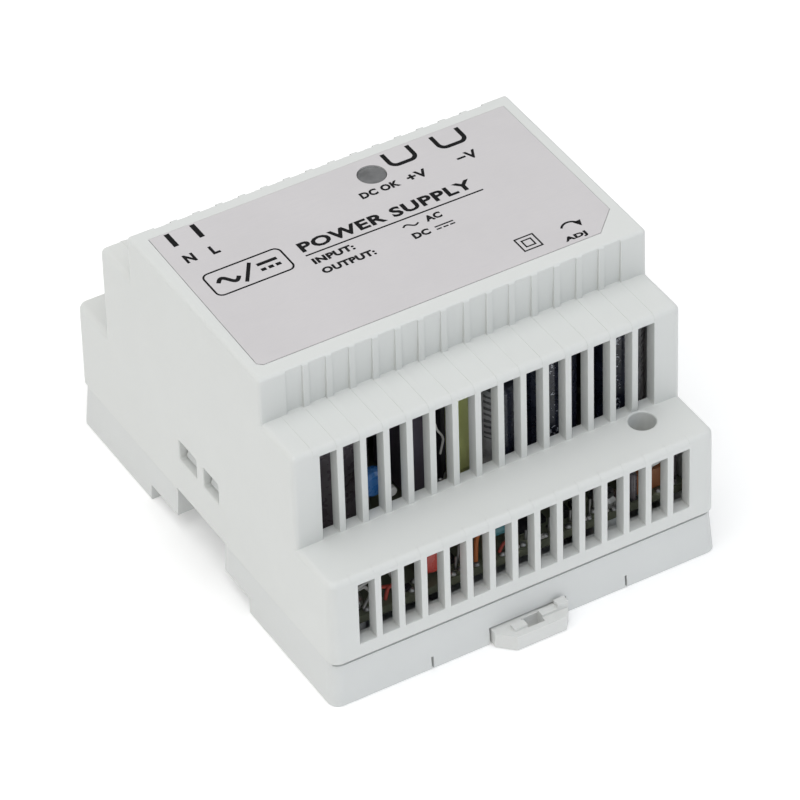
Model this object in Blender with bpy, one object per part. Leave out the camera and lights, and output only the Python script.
"""DIN rail power supply: stepped two-part enclosure, sliding rail clip, screw
terminals with rising clamps, output trimmer, and the board with its components.

Frame: metres, +Z up, the unit lies on its rail side with the label plateau on top.
X is the width, -Y is the vented side with the rail clip's tab, +Y the terminal side.
The origin is at the middle of the bounding box's bottom.
Dimensions below are in millimetres and are scaled by MM.
"""
import math

import bmesh
import bpy
from mathutils import Matrix, Vector

MM = 0.001

# ---- driving dimensions (mm, body frame: y = 0 at the plateau's middle) ----
TAB_TIP = -49.9        # outermost edge of the rail clip's tab
FAR_EDGE = 46.0        # terminal side of the base
Y_SHIFT = -(TAB_TIP + FAR_EDGE) / 2.0
HEIGHT = 57.2          # underside of the feet to the label plateau
COVER_HX = 38.8        # half width of the cover
BASE_HX = 39.2         # half width of the base at its foot
BASE_HX_TOP = 38.6
BASE_HY_TOP = 45.3
STEP2_Y = 45.8         # lower step's face, both sides
STEP1_Y = 34.25        # upper step's face
PLATEAU_Y = 22.55      # plateau's face: a 45 mm front as modular enclosures have
LEDGE2_Z = 27.6
LEDGE1_Z = 47.7
SEAM_Z = 9.35          # joint between base and cover
WALL = 2.4
GAP = 0.3
SLOT_N = 15
SLOT_W = 3.3
SLOT_PITCH = 4.53
SLOT_X0 = -(SLOT_PITCH * (SLOT_N - 1) + SLOT_W) / 2.0
UPPER_SLOT_Z = (27.9, 46.1)
LOWER_SLOT_Z = (12.4, 25.8)
MARGIN = 0.8           # plateau's faces stand this far outside its nominal 45 mm
FLUTE_D = {-1: (0.55, 0.15), 1: (0.9, 0.8)}  # flutes carry the vents' pattern up the plateau; near ones run out towards the top
RAIL_Y = (-16.6, 19.4)  # rail channel, a 35 mm top hat rail with 1 mm to spare
RAIL_Z = 3.4
RECESS_Y = (-7.7, 9.6)
RECESS_Z = 9.85
ADJ_XY = (29.3, -36.7)
ADJ_R = 2.5
LED_XY = (6.3, 15.6)
LED_R = 2.75
POLE_PITCH = 5.08
INPUT_X = (-32.49, -27.41)
OUTPUT_X = (10.6, 15.68, 20.76, 25.84)
SCREW_Y = 39.2         # terminal screw axes
BOARD_Z = (12.4, 14.0)
CLIP_TRAVEL = 5.0
WINDOWS_Y = ((-6.3, -0.9), (1.6, 7.9))
WINDOWS_Z = (17.5, 22.0)

for old in list(bpy.data.objects):
    bpy.data.objects.remove(old, do_unlink=True)

scene_collection = bpy.context.scene.collection
materials = {}


def material(name, rgb, rough=0.5, metal=0.0):
    if name in materials:
        return materials[name]
    m = bpy.data.materials.new(name)
    m.use_nodes = True
    bsdf = m.node_tree.nodes["Principled BSDF"]
    bsdf.inputs["Base Color"].default_value = (rgb[0], rgb[1], rgb[2], 1.0)
    bsdf.inputs["Roughness"].default_value = rough
    bsdf.inputs["Metallic"].default_value = metal
    materials[name] = m
    return m


def finish_object(name, bm, mat, origin=(0.0, 0.0, 0.0), smooth=30.0):
    """bm is in body-frame millimetres; origin is the object's own origin, in the same frame."""
    bmesh.ops.remove_doubles(bm, verts=bm.verts, dist=1e-5)
    bmesh.ops.recalc_face_normals(bm, faces=bm.faces)
    mesh = bpy.data.meshes.new(name)
    o = Vector(origin)
    bmesh.ops.translate(bm, verts=bm.verts, vec=-o)
    bmesh.ops.scale(bm, verts=bm.verts, vec=(MM, MM, MM))
    bm.to_mesh(mesh)
    bm.free()
    mesh.materials.append(mat)
    mesh.shade_smooth()
    mesh.set_sharp_from_angle(angle=math.radians(smooth))
    obj = bpy.data.objects.new(name, mesh)
    obj.location = (o.x * MM, (o.y + Y_SHIFT) * MM, o.z * MM)
    scene_collection.objects.link(obj)
    return obj


# ---- solids, all returned as new bmeshes in millimetres ----
def box(x0, x1, y0, y1, z0, z1, bm=None):
    bm = bm or bmesh.new()
    v = [bm.verts.new(p) for p in ((x0, y0, z0), (x1, y0, z0), (x1, y1, z0), (x0, y1, z0),
                                   (x0, y0, z1), (x1, y0, z1), (x1, y1, z1), (x0, y1, z1))]
    for f in ((3, 2, 1, 0), (4, 5, 6, 7), (0, 1, 5, 4), (1, 2, 6, 5), (2, 3, 7, 6), (3, 0, 4, 7)):
        bm.faces.new([v[i] for i in f])
    return bm


def loft(rings, bm=None):
    """Closed solid through rings of equal point counts, ordered from the bottom up,
    each ring counter-clockwise seen from the end the rings run towards."""
    bm = bm or bmesh.new()
    rows = [[bm.verts.new(p) for p in ring] for ring in rings]
    n = len(rows[0])
    bm.faces.new(list(reversed(rows[0])))
    bm.faces.new(rows[-1])
    for a, b in zip(rows, rows[1:]):
        for i in range(n):
            j = (i + 1) % n
            bm.faces.new((a[i], a[j], b[j], b[i]))
    return bm


def rounded_ring(hx, hy, r, z, segments, cx=0.0, cy=0.0):
    r = max(r, 0.01)
    points = []
    for k, (sx, sy) in enumerate(((1, 1), (-1, 1), (-1, -1), (1, -1))):
        for s in range(segments + 1):
            a = math.radians(90.0 * k + 90.0 * s / segments)
            points.append((cx + sx * (hx - r) + r * math.cos(a), cy + sy * (hy - r) + r * math.sin(a), z))
    return points


def rounded_prism(hx0, hy0, hx1, hy1, z0, z1, r, top_round=0.0, bottom_round=0.0, segments=4, steps=2, cx=0.0, cy=0.0):
    """Upright prism with rounded vertical corners, tapering from z0 to z1, with its top edge rounded."""
    rings = []
    if bottom_round > 0:
        for s in range(steps + 1):
            a = math.radians(90.0 * s / steps)
            inset = bottom_round * (1 - math.sin(a))
            rings.append(rounded_ring(hx0 - inset, hy0 - inset, max(r - inset, 0.05), z0 + bottom_round * (1 - math.cos(a)), segments, cx, cy))
    else:
        rings.append(rounded_ring(hx0, hy0, r, z0, segments, cx, cy))
    if top_round > 0:
        for s in range(steps + 1):
            a = math.radians(90.0 * s / steps)
            inset = top_round * (1 - math.cos(a))
            rings.append(rounded_ring(hx1 - inset, hy1 - inset, max(r - inset, 0.05), z1 - top_round * (1 - math.sin(a)), segments, cx, cy))
    else:
        rings.append(rounded_ring(hx1, hy1, r, z1, segments, cx, cy))
    return loft(rings)


def extrude(points, axis, a0, a1, bm=None):
    """Prism of a closed outline along axis. Outline pairs are (y, z) for x, (x, z) for y and (x, y) for z."""
    def place(p, a):
        if axis == "x":
            return (a, p[0], p[1])
        if axis == "y":
            return (p[0], a, p[1])
        return (p[0], p[1], a)
    return loft([[place(p, a0) for p in points], [place(p, a1) for p in points]], bm)


def turned(profile, cx, cy, segments=24, axis="z", c3=0.0, bm=None):
    """Solid of revolution. profile is [(radius, height), ...] from bottom to top, radii above zero.
    For axis z the axis passes through (cx, cy); for axis x through (y=cx, z=cy); for axis y through (x=cx, z=cy)."""
    rings = []
    for r, h in profile:
        ring = []
        for i in range(segments):
            a = 2 * math.pi * i / segments
            u, w = r * math.cos(a), r * math.sin(a)
            if axis == "z":
                ring.append((cx + u, cy + w, h))
            elif axis == "x":
                ring.append((h, cx + u, cy + w))
            else:
                ring.append((cx + w, h, cy + u))
        rings.append(ring)
    return loft(rings, bm)


def ring_solid(r_in, r_out, a0, a1, c1, c2, axis="z", segments=24, chamfer=0.0):
    """Hollow round tube along axis."""
    bm = bmesh.new()
    c = chamfer
    section = [(r_in, a0 + c), (r_in + c, a0), (r_out - c, a0), (r_out, a0 + c), (r_out, a1 - c), (r_out - c, a1), (r_in + c, a1), (r_in, a1 - c)] if c > 0 else [(r_in, a0), (r_out, a0), (r_out, a1), (r_in, a1)]
    rows = []
    for i in range(segments):
        t = 2 * math.pi * i / segments
        row = []
        for r, h in section:
            u, w = r * math.cos(t), r * math.sin(t)
            if axis == "z":
                p = (c1 + u, c2 + w, h)
            elif axis == "x":
                p = (h, c1 + u, c2 + w)
            else:
                p = (c1 + w, h, c2 + u)
            row.append(bm.verts.new(p))
        rows.append(row)
    m = len(section)
    for i in range(segments):
        a, b = rows[i], rows[(i + 1) % segments]
        for k in range(m):
            j = (k + 1) % m
            bm.faces.new((a[k], b[k], b[j], a[j]))
    return bm


def toroid_coil(cx, cy, cz, radius, a, b, wire, turns, start, end, steps=8, sides=6):
    """One continuous wire wound round a toroid's section of half sizes a (radial) and b (axial)."""
    path = []
    count = turns * steps
    for i in range(count + 1):
        t = i / count
        theta = math.radians(start + (end - start) * t)
        phi = 2 * math.pi * (turns * t + 0.5 / steps)
        u = a * math.copysign(abs(math.cos(phi)) ** 0.5, math.cos(phi))
        w = b * math.copysign(abs(math.sin(phi)) ** 0.5, math.sin(phi))
        path.append(Vector((cx + (radius + u) * math.cos(theta), cy + (radius + u) * math.sin(theta), cz + w)))
    rings = []
    for i, p in enumerate(path):
        before, after = path[max(i - 1, 0)], path[min(i + 1, count)]
        tangent = (after - before).normalized()
        theta = math.radians(start + (end - start) * i / count)
        side = Vector((-math.sin(theta), math.cos(theta), 0.0))
        side = (side - tangent * side.dot(tangent)).normalized()
        up = tangent.cross(side)
        rings.append([p + (side * math.cos(2 * math.pi * k / sides) + up * math.sin(2 * math.pi * k / sides)) * wire for k in range(sides)])
    return loft(rings)


def temp_object(bm):
    bmesh.ops.recalc_face_normals(bm, faces=bm.faces)
    mesh = bpy.data.meshes.new("tmp")
    bm.to_mesh(mesh)
    bm.free()
    obj = bpy.data.objects.new("tmp", mesh)
    scene_collection.objects.link(obj)
    return obj


def combine(a, b, operation):
    """Boolean of two bmeshes with the exact solver; both are used up."""
    oa, ob = temp_object(a), temp_object(b)
    mod = oa.modifiers.new("b", "BOOLEAN")
    mod.operation = operation
    mod.solver = "EXACT"
    mod.object = ob
    bpy.context.view_layer.update()
    evaluated = oa.evaluated_get(bpy.context.evaluated_depsgraph_get())
    mesh = bpy.data.meshes.new_from_object(evaluated)
    bm = bmesh.new()
    bm.from_mesh(mesh)
    for o in (oa, ob):
        data = o.data
        bpy.data.objects.remove(o, do_unlink=True)
        bpy.data.meshes.remove(data)
    bpy.data.meshes.remove(mesh)
    bmesh.ops.remove_doubles(bm, verts=bm.verts, dist=1e-4)
    bmesh.ops.dissolve_limit(bm, angle_limit=math.radians(0.5), verts=bm.verts, edges=bm.edges)
    return bm


def cut(a, *cutters):
    for c in cutters:
        a = combine(a, c, "DIFFERENCE")
    return a


def join(a, *others):
    for o in others:
        a = combine(a, o, "UNION")
    return a


def slots(y0, y1, z0, z1):
    bm = bmesh.new()
    for k in range(SLOT_N):
        x = SLOT_X0 + k * SLOT_PITCH
        box(x, x + SLOT_W, y0, y1, z0, z1, bm)
    return bm


# ---- materials ----
HOUSING = material("housing_abs", (0.66, 0.67, 0.66), 0.48)
LABEL = material("label_silver", (0.60, 0.59, 0.59), 0.35, 0.2)
SMOKE = material("light_pipe", (0.20, 0.20, 0.20), 0.15)
BOARD = material("board", (0.16, 0.20, 0.07), 0.5)
TERMINAL = material("terminal_plastic", (0.05, 0.12, 0.07), 0.5)
STEEL = material("zinc_steel", (0.62, 0.62, 0.60), 0.32, 1.0)
TIN = material("tin_contact", (0.70, 0.70, 0.68), 0.3, 1.0)
SLEEVE = material("capacitor_sleeve", (0.015, 0.018, 0.03), 0.3)
BLUE = material("disc_blue", (0.03, 0.12, 0.36), 0.4)
RED = material("film_red", (0.45, 0.05, 0.04), 0.4)
GREEN = material("ntc_green", (0.05, 0.10, 0.05), 0.45)
YELLOW = material("tape_yellow", (0.42, 0.46, 0.09), 0.45)
FERRITE = material("ferrite", (0.03, 0.03, 0.032), 0.6)
BOBBIN = material("bobbin_black", (0.02, 0.02, 0.02), 0.5)
COPPER = material("enamel_copper", (0.55, 0.22, 0.08), 0.3, 1.0)
BLACK = material("epoxy_black", (0.015, 0.015, 0.016), 0.5)
SINK = material("anodised_sink", (0.05, 0.05, 0.055), 0.4, 0.8)
GLASS = material("fuse_glass", (0.80, 0.84, 0.82), 0.1)
BRASS = material("nickel_brass", (0.68, 0.66, 0.58), 0.3, 1.0)
XCAP = material("film_grey", (0.30, 0.30, 0.28), 0.45)
PHENOLIC = material("phenolic_brown", (0.38, 0.15, 0.05), 0.5)
ROTOR = material("rotor_white", (0.75, 0.73, 0.66), 0.45)
LEDRED = material("led_green", (0.10, 0.42, 0.14), 0.2)
TEAL = material("resistor_teal", (0.05, 0.30, 0.34), 0.4)

ALL_POLES = [("input_n", INPUT_X[0]), ("input_l", INPUT_X[1])] + [("output_%d" % (i + 1), x) for i, x in enumerate(OUTPUT_X)]

# =====================================================================
# Front cover: three rounded tiers, hollow, vented towards -Y and +Y
# =====================================================================
cover = rounded_prism(COVER_HX, STEP2_Y, COVER_HX, STEP2_Y - 0.1, SEAM_Z + 0.15, LEDGE2_Z, 2.0, top_round=1.1)
cover = join(cover, rounded_prism(COVER_HX, STEP1_Y, COVER_HX, STEP1_Y, 20.0, LEDGE1_Z, 1.2, top_round=1.1))
cover = join(cover, rounded_prism(COVER_HX, PLATEAU_Y + MARGIN, COVER_HX, PLATEAU_Y + MARGIN, 40.0, HEIGHT, 0.7, top_round=0.7))
# flutes in line with the vents, on both plateau faces
for side in (-1, 1):
    flutes = bmesh.new()
    for k in range(SLOT_N):
        x0 = SLOT_X0 + k * SLOT_PITCH
        face = PLATEAU_Y + MARGIN
        rings = []
        for z, depth in ((LEDGE1_Z + 0.02, FLUTE_D[side][0]), (HEIGHT + 1.0, FLUTE_D[side][1])):
            rings.append([(px, side * py, z) for px, py in ((x0, face - depth), (x0 + SLOT_W, face - depth), (x0 + SLOT_W, face + 2.0), (x0, face + 2.0))])
        loft(rings, flutes)
    cover = cut(cover, flutes)
# cavity
cover = cut(cover,
            rounded_prism(COVER_HX - WALL, STEP2_Y - WALL, COVER_HX - WALL, STEP2_Y - WALL, 4.0, LEDGE2_Z - 2.3, 1.5, segments=2),
            box(-COVER_HX + WALL + 0.1, COVER_HX - WALL - 0.1, -STEP1_Y + WALL, STEP1_Y - WALL, 20.0, LEDGE1_Z - 2.4),
            box(-COVER_HX + WALL + 0.2, COVER_HX - WALL - 0.2, -PLATEAU_Y + WALL, PLATEAU_Y - WALL, 40.0, HEIGHT - 2.3))
# vents: upper row on both upper steps, lower row on the near lower step
cover = cut(cover,
            slots(-STEP1_Y - 1, -STEP1_Y + WALL + 1, *UPPER_SLOT_Z),
            slots(STEP1_Y - WALL - 1, STEP1_Y + 1, *UPPER_SLOT_Z),
            slots(-STEP2_Y - 1, -STEP2_Y + WALL + 1, *LOWER_SLOT_Z))
# trimmer tube, status window, label recess
cover = join(cover, turned([(4.0, 20.2), (4.0, LEDGE2_Z - 1.0)], ADJ_XY[0], ADJ_XY[1], 20))
cover = cut(cover,
            turned([(ADJ_R, 18.0), (ADJ_R, 30.0)], ADJ_XY[0], ADJ_XY[1], 24),
            turned([(LED_R, 50.0), (LED_R, 60.0)], LED_XY[0], LED_XY[1], 24),
            extrude([(-36.6, -20.3), (31.3, -20.3), (36.6, -15.0), (36.6, 20.7), (-36.6, 20.7)], "z", HEIGHT - 0.35, HEIGHT + 1))
# terminal side: screw holes in the lower ledge, block windows in the lower face
holes = bmesh.new()
for _, x in ALL_POLES:
    turned([(2.2, 24.0), (2.2, 29.0)], x, SCREW_Y, 16, bm=holes)
cover = cut(cover, holes)
windows = bmesh.new()
for xs in (INPUT_X, OUTPUT_X):
    box(xs[0] - 2.54 - GAP, xs[-1] + 2.54 + GAP, 42.0, 47.5, 14.0, 24.6, windows)
cover = cut(cover, windows)
# snap windows in both side walls, and the notch over the rail recess
snaps = bmesh.new()
for side in (-1, 1):
    for y0, y1 in WINDOWS_Y:
        x = sorted((side * 34.0, side * 41.0))
        box(x[0], x[1], y0, y1, WINDOWS_Z[0], WINDOWS_Z[1], snaps)
cover = cut(cover, snaps)
cover = cut(cover, box(-45, 45, RECESS_Y[0], RECESS_Y[1], 5.0, RECESS_Z))
finish_object("front_cover", cover, HOUSING)

# =====================================================================
# Base tray: foot of the enclosure with the rail channel and the clip's guide
# =====================================================================
base = rounded_prism(BASE_HX, FAR_EDGE, BASE_HX_TOP, BASE_HY_TOP, 0.0, SEAM_Z - 0.15, 2.2, bottom_round=0.3)
base = cut(base, box(-45.0, 45.0, -50.0, -44.4, SEAM_Z - 0.65, SEAM_Z + 1.0))   # shadow gap under the cover's rim
base = join(base, rounded_prism(35.9, 42.7, 35.9, 42.7, 4.0, 11.2, 1.4, segments=2))
base = cut(base,
           box(-34.7, 34.7, 11.3, 18.5, 5.4, 20.0),
           box(-34.6, 34.6, 21.0, 41.6, 2.0, 20.0),
           box(-34.7, 34.7, -18.6, -9.4, 5.4, 20.0),
           box(-34.6, -11.5, -41.6, -18.2, 2.0, 20.0),
           box(11.5, 34.6, -41.6, -18.2, 2.0, 20.0),
           box(-12.0, 12.0, -41.5, -18.1, 5.5, 20.0))
# rail channel, full width, with two fixed hooks on the terminal side
base = cut(base,
           box(-45, 45, RAIL_Y[0], RAIL_Y[1] - 1.5, -5.0, RAIL_Z),
           box(-45, 45, RAIL_Y[1] - 2.0, RAIL_Y[1], 1.9, RAIL_Z - 0.01),
           box(-14, 14, RAIL_Y[1] - 2.0, RAIL_Y[1] - 0.01, -5.0, 2.5),
           box(-45, -32, RAIL_Y[1] - 2.0, RAIL_Y[1] - 0.01, -5.0, 2.5),
           box(32, 45, RAIL_Y[1] - 2.0, RAIL_Y[1] - 0.01, -5.0, 2.5),
           box(-46, 46, RECESS_Y[0], RECESS_Y[1], 2.0, RECESS_Z))
# guide for the clip: open below, wider above so that the clip's flanges run in it
base = cut(base,
           box(-7.8, 7.9, -50.0, -41.0, -5.0, 3.7),
           box(-7.8, 7.8, -42.0, -15.0, -5.0, 2.5),
           box(-9.3, 9.3, -43.2, -15.5, 1.9, 3.69))
# fine slits at the foot of the near face
base = cut(base, box(-19.55, -19.1, -47.0, -44.0, -1.0, 2.7), box(19.95, 20.4, -47.0, -44.0, -1.0, 2.7))
# board posts, snap tongues with their hooks
POSTS = ((-31.0, -37.5), (20.5, -38.0), (-19.5, 38.0), (32.6, 31.0))
for x, y in POSTS:
    base = join(base, turned([(3.0, 1.0), (3.0, BOARD_Z[0] - GAP)], x, y, 16))
    base = cut(base, turned([(1.6, 3.0), (1.6, 20.0)], x, y, 12))
for side in (-1, 1):
    x = sorted((side * 34.3, side * 35.85))
    base = join(base, box(x[0], x[1], -6.5, 8.1, 10.3, 22.6))
    for y0, y1 in WINDOWS_Y:
        outline = [(side * 35.0, 17.8), (side * 37.3, 17.8), (side * 37.3, 18.4), (side * 35.85, 21.2), (side * 35.0, 21.2)]
        base = join(base, extrude(outline, "y", y0 + GAP, y1 - GAP))
finish_object("base_tray", base, HOUSING)

# =====================================================================
# Rail clip: slides towards -Y to let the rail go
# =====================================================================
clip_outline = [(-7.4, -47.1), (-4.6, TAB_TIP), (5.4, TAB_TIP), (6.8, -48.3), (7.5, -46.35), (7.5, -17.2), (-7.4, -17.2)]
clip = extrude(clip_outline, "z", 0.2, 3.3)
clip = join(clip, box(-7.39, 7.49, -17.6, -14.3, 0.21, 1.8))                 # jaw under the rail's flange
clip = join(clip, box(-8.9, 8.9, -37.4, -18.4, 2.2, 3.29))                  # guide flanges
clip = join(clip, box(-4.3, -1.71, -48.6, -47.1, 3.0, 3.9), box(1.71, 7.0, -47.9, -46.36, 3.0, 3.8), box(4.9, 7.01, -47.89, -46.35, 3.0, 4.7))
clip = cut(clip, box(-1.7, 1.7, -48.8, -46.3, -1.0, 6.0))                    # screwdriver slot
clip = cut(clip, box(-5.4, -4.5, -36.0, -20.5, -1.0, 6.0), box(4.5, 5.4, -36.0, -20.5, -1.0, 6.0),
           box(-2.4, 2.4, -38.0, -20.5, -1.0, 6.0))
finish_object("din_clip", clip, HOUSING)

# =====================================================================
# Label, status light pipe
# =====================================================================
label = extrude([(-36.3, -20.0), (31.4, -20.0), (36.3, -15.1), (36.3, 20.4), (-36.3, 20.4)], "z", HEIGHT - 0.05, HEIGHT + 0.15)
label = cut(label, turned([(LED_R, 50.0), (LED_R, 60.0)], LED_XY[0], LED_XY[1], 24))
finish_object("rating_label", label, LABEL)
finish_object("status_light_pipe", turned([(2.4, 46.2), (2.4, 53.2), (3.7, 53.2), (3.7, 54.6), (2.4, 54.6), (2.4, 56.2), (2.0, 56.55), (1.1, 56.75)], LED_XY[0], LED_XY[1], 24), SMOKE)

# =====================================================================
# Main board with its screws
# =====================================================================
board = box(-35.4, 35.4, -41.2, 42.0, BOARD_Z[0], BOARD_Z[1])
board = cut(board, box(-40, -33.9, -6.9, 8.5, 10, 16), box(33.9, 40, -6.9, 8.5, 10, 16))
drill = bmesh.new()
for x, y in POSTS:
    turned([(1.7, 10.0), (1.7, 16.0)], x, y, 12, bm=drill)
for _, x in ALL_POLES:
    box(x - 0.9, x + 0.9, 34.6, 36.0, 10.0, 16.0, drill)
board = cut(board, drill)
finish_object("main_board", board, BOARD)
for i, (x, y) in enumerate(POSTS):
    finish_object("board_screw_%d" % (i + 1), turned([(1.3, 5.0), (1.3, BOARD_Z[1] + GAP), (2.6, BOARD_Z[1] + GAP), (2.6, 15.5), (1.9, 16.1)], x, y, 12), STEEL)

# =====================================================================
# Terminal blocks: housings, fixed pins, rising clamps, screws
# =====================================================================
def terminal_housing(name, xs):
    body = box(xs[0] - 2.54, xs[-1] + 2.54, 33.8, 45.5, BOARD_Z[1] + GAP, 24.3)
    chambers, shanks, bores, mouths = bmesh.new(), bmesh.new(), bmesh.new(), bmesh.new()
    for x in xs:
        box(x - 2.15, x + 2.15, 34.6, 42.4, 10.0, 22.0, chambers)
        turned([(1.3, 20.0), (1.3, 30.0)], x, SCREW_Y, 12, bm=shanks)
        turned([(2.15, 22.6), (2.15, 30.0)], x, SCREW_Y, 16, bm=bores)
        box(x - 1.85, x + 1.85, 41.0, 47.0, 15.0, 18.8, mouths)
    body = cut(body, chambers, shanks, bores, mouths)
    finish_object(name, body, TERMINAL)


terminal_housing("input_terminal_block", INPUT_X)
terminal_housing("output_terminal_block", OUTPUT_X)
PIN = [(34.9, 11.2), (35.7, 11.2), (35.7, 17.7), (41.6, 17.7), (41.6, 18.4), (34.9, 18.4)]
for name, x in ALL_POLES[:2]:
    finish_object("pin_" + name, extrude(PIN, "x", x - 0.6, x + 0.6), TIN)
for name, pair in (("output_plus", OUTPUT_X[:2]), ("output_minus", OUTPUT_X[2:])):
    # the two poles of one potential are one stamping, bridged under the block
    pin = extrude(PIN, "x", pair[0] - 0.6, pair[0] + 0.6)
    pin = join(pin, extrude(PIN, "x", pair[1] - 0.6, pair[1] + 0.6), box(pair[0], pair[1], 34.95, 35.65, 11.25, 12.05))
    finish_object("pin_" + name, pin, TIN)
for name, x in ALL_POLES:
    cage = box(x - 1.8, x + 1.8, 36.5, 41.9, 14.95, 20.1)
    cage = cut(cage, box(x - 1.3, x + 1.3, 35.0, 43.0, 15.55, 19.3), turned([(1.25, 19.0), (1.25, 22.0)], x, SCREW_Y, 12))
    finish_object("clamp_" + name, cage, STEEL, origin=(x, SCREW_Y, 17.5))
    screw = turned([(0.95, 18.75), (0.95, 22.9), (1.8, 22.9), (1.8, 24.0), (1.5, 24.3)], x, SCREW_Y, 16)
    screw = cut(screw, box(x - 0.25, x + 0.25, SCREW_Y - 3, SCREW_Y + 3, 23.6, 25.0))
    finish_object("screw_" + name, screw, STEEL, origin=(x, SCREW_Y, 22.9))

# =====================================================================
# Output trimmer under the ledge's hole
# =====================================================================
ax, ay = ADJ_XY
trimmer = box(ax - 3.2, ax + 3.2, ay - 3.2, ay + 3.2, BOARD_Z[1] + GAP, 18.6)
trimmer = cut(trimmer, turned([(2.7, 16.6), (2.7, 20.0)], ax, ay, 20))
finish_object("trimmer_body", trimmer, PHENOLIC)
rotor = turned([(2.35, 16.9), (2.35, 19.0), (1.9, 19.5)], ax, ay, 20)
rotor = cut(rotor, box(ax - 0.3, ax + 0.3, ay - 1.6, ay + 1.6, 18.5, 20.0))
finish_object("trimmer_rotor", rotor, ROTOR, origin=(ax, ay, 18.0))

# =====================================================================
# Components on the board
# =====================================================================
TOP = BOARD_Z[1] + GAP


def upright_can(name, x, y, r, height, mat):
    """Radial electrolytic capacitor with a crimp near its foot and a rounded shoulder."""
    z = TOP
    finish_object(name, turned([(r * 0.93, z), (r, z + 0.5), (r, z + 1.6), (r * 0.95, z + 2.2), (r, z + 2.8), (r, z + height - 0.6), (r - 0.6, z + height)], x, y, 24), mat)


def disc(name, x, y, z, r, thick, mat, leads=True):
    """Upright disc, flat towards Y, coated, on two leads that stop above the board."""
    t = thick / 2.0
    bm = turned([(r * 0.72, y - t), (r * 0.94, y - t * 0.6), (r, y), (r * 0.94, y + t * 0.6), (r * 0.72, y + t)], x, z, 20, axis="y")
    if leads:
        for dx in (-2.5, 2.5):
            lead = turned([(0.35, TOP), (0.35, z - r * 0.6)], x + dx, y, 8)
            bm = combine(bm, lead, "UNION")
    finish_object(name, bm, mat)


# mains side
finish_object("mains_fuse", turned([(2.5, 12.9), (2.9, 13.3), (2.9, 16.3), (2.5, 16.4), (2.5, 28.8), (2.9, 28.9), (2.9, 31.9), (2.5, 32.3)], -30.0, 18.0, 16, axis="y"), GLASS)
disc("varistor", -17.0, 28.5, 24.0, 6.0, 4.0, BLUE)
disc("inrush_thermistor", -10.5, 36.5, 19.9, 4.4, 3.6, GREEN)
xcap = rounded_prism(9.0, 4.0, 9.0, 4.0, TOP, 28.5, 0.8, top_round=0.6, segments=2, cx=-17.0, cy=18.5)
finish_object("x_capacitor", xcap, XCAP)
finish_object("choke_core", ring_solid(4.6, 8.4, 17.5, 23.5, -24.3, 2.2, axis="z", segments=28, chamfer=0.5), FERRITE)
finish_object("choke_winding_1", toroid_coil(-24.3, 2.2, 20.5, 6.5, 2.9, 4.0, 0.45, 6, 28.0, 118.0), COPPER)
finish_object("choke_winding_2", toroid_coil(-24.3, 2.2, 20.5, 6.5, 2.9, 4.0, 0.45, 6, 208.0, 298.0), COPPER)
finish_object("bridge_rectifier", extrude([(-6.6, 16.5), (6.6, 16.5), (7.4, 17.3), (7.4, 27.5), (-5.0, 27.5), (-7.4, 25.1), (-7.4, 17.3)], "y", 27.8, 31.0), BLACK)
upright_can("bulk_capacitor", -24.0, -17.5, 8.0, 28.0, SLEEVE)
disc("y_capacitor", -20.9, -29.3, 31.3, 2.9, 2.8, BLUE)
disc("film_capacitor", -14.8, -38.4, 18.0, 3.0, 3.0, RED)

# switching side
sink = extrude([(-14.6, 3.0), (-12.6, 3.0), (-12.6, 9.0), (4.0, 9.0), (4.0, 11.0), (-14.6, 11.0)], "z", TOP, 42.0)
finish_object("primary_heatsink", sink, SINK)
mos = box(-8.0, 2.0, 4.1, 8.7, 24.0, 39.5)
mos = cut(mos, turned([(1.9, 0.0), (1.9, 20.0)], -3.0, 36.5, 14, axis="y"), box(-9.0, 3.0, 3.0, 7.0, 33.5, 45.0))
finish_object("switching_transistor", mos, BLACK)

# transformer: two E cores, bobbin and taped winding, axis along X
TX, TY, TZ = 1.0, -13.5, 29.0


def e_core(side):
    s = side
    yoke = sorted((s * 4.6, s * 9.2))
    leg = sorted((s * 0.15, s * 5.0))
    e = box(TX + yoke[0], TX + yoke[1], TY - 6, TY + 6, TZ - 14.5, TZ + 14.5)
    e = join(e, box(TX + leg[0], TX + leg[1], TY - 5.99, TY + 5.99, TZ + 11.6, TZ + 14.49),
             box(TX + leg[0], TX + leg[1], TY - 5.99, TY + 5.99, TZ - 14.49, TZ - 11.6),
             box(TX + leg[0], TX + leg[1], TY - 4.0, TY + 4.0, TZ - 4.0, TZ + 4.0))
    return e


finish_object("transformer_core_1", e_core(-1), FERRITE)
finish_object("transformer_core_2", e_core(1), FERRITE)
bobbin = box(TX - 4.3, TX + 4.3, TY - 5.4, TY + 5.4, TZ - 5.4, TZ + 5.4)
bobbin = join(bobbin, box(TX - 4.3, TX - 3.4, TY - 9.4, TY + 9.4, TZ - 11.0, TZ + 11.0), box(TX + 3.4, TX + 4.3, TY - 9.4, TY + 9.4, TZ - 11.0, TZ + 11.0))
bobbin = cut(bobbin, box(TX - 8, TX + 8, TY - 4.3, TY + 4.3, TZ - 4.3, TZ + 4.3))
finish_object("transformer_bobbin", bobbin, BOBBIN)
winding = loft([[(x, y, z) for x, y, z in (((TX + sx), TY + p[0], TZ + p[1]) for p in
          [((9.8 - 2.0) * cx + 2.0 * math.cos(math.radians(a)), (11.0 - 2.0) * cz + 2.0 * math.sin(math.radians(a)))
           for cx, cz, a0 in ((1, 1, 0), (-1, 1, 90), (-1, -1, 180), (1, -1, 270)) for a in (a0, a0 + 45, a0 + 90)])] for sx in (-3.1, 3.1)])
winding = cut(winding, box(TX - 8, TX + 8, TY - 5.7, TY + 5.7, TZ - 5.7, TZ + 5.7))
finish_object("transformer_winding", winding, YELLOW)

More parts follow.
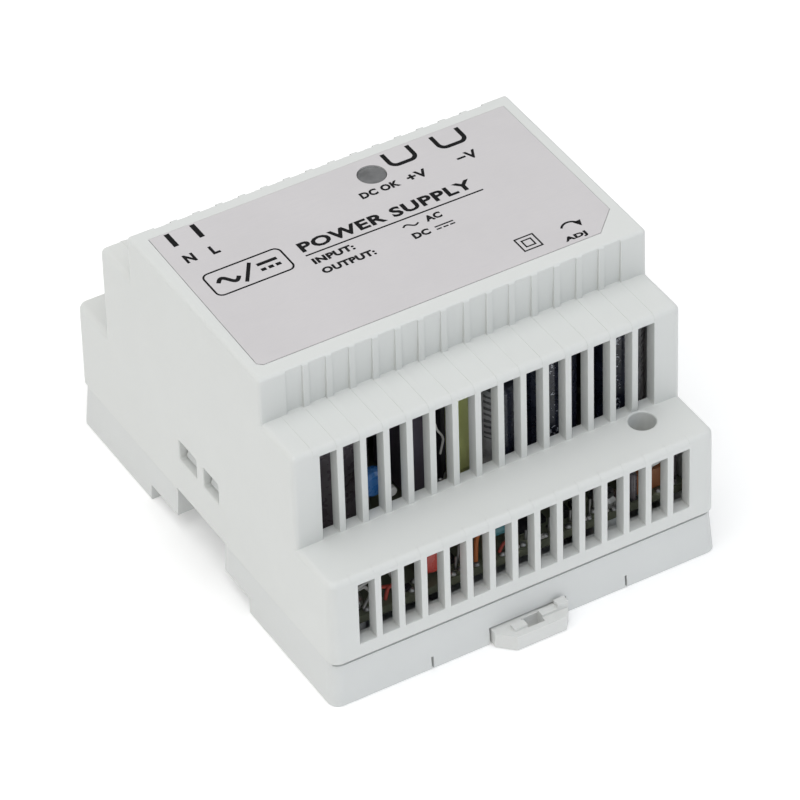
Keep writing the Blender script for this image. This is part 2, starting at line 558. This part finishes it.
# output side
upright_can("output_capacitor_1", 5.4, -27.3, 3.7, 26.5, SLEEVE)
upright_can("output_capacitor_2", 16.6, -25.4, 5.4, 28.5, SLEEVE)
sink2 = extrude([(11.0, -9.0), (34.6, -9.0), (34.6, -7.0), (26.0, -7.0), (26.0, -2.5), (24.0, -2.5), (24.0, -7.0), (11.0, -7.0)], "z", TOP, 43.0)
finish_object("output_heatsink", sink2, SINK)
dio = box(12.6, 22.6, -6.7, -2.1, 24.0, 39.5)
dio = cut(dio, turned([(1.9, -20.0), (1.9, 20.0)], 17.6, 36.5, 14, axis="y"), box(11.0, 24.0, -5.0, 0.0, 33.5, 45.0))
finish_object("output_rectifier", dio, BLACK)
finish_object("inductor_core", ring_solid(3.2, 6.2, 16.9, 21.9, 15.0, 26.0, axis="z", segments=24, chamfer=0.4), material("iron_powder", (0.42, 0.38, 0.10), 0.5))
finish_object("inductor_winding", toroid_coil(15.0, 26.0, 19.4, 4.7, 2.45, 3.45, 0.4, 12, 0.0, 330.0), COPPER)
upright_can("filter_capacitor", 30.9, -25.4, 5.0, 28.5, SLEEVE)

# control side: upright board with the status LED, optocoupler and controller
finish_object("control_board", box(0.5, 27.0, 11.9, 13.5, TOP, 38.0), BOARD)
led = turned([(1.9, 41.2), (1.9, 42.2), (1.5, 42.2), (1.5, 44.9), (1.1, 45.6), (0.5, 45.9)], LED_XY[0], LED_XY[1], 16)
for dx in (-1.27, 1.27):
    led = join(led, box(LED_XY[0] + dx - 0.25, LED_XY[0] + dx + 0.25, LED_XY[1] - 0.25, LED_XY[1] + 0.25, 33.0, 41.6))
finish_object("status_led", led, LEDRED)
finish_object("control_ic", box(18.0, 23.0, 13.8, 15.6, 24.0, 34.0), BLACK)
finish_object("optocoupler", box(6.2, 10.8, 3.0, 9.4, TOP, 18.0), BLACK)
finish_object("bleed_resistor", turned([(1.1, -4.2), (1.5, -3.6), (1.5, 1.4), (1.1, 2.0)], -38.0, 18.3, 12, axis="x"), TEAL)
finish_object("snubber_capacitor", rounded_prism(3.5, 2.2, 3.5, 2.2, TOP, 21.0, 0.6, top_round=0.5, segments=2, cx=-2.0, cy=-31.5), PHENOLIC)
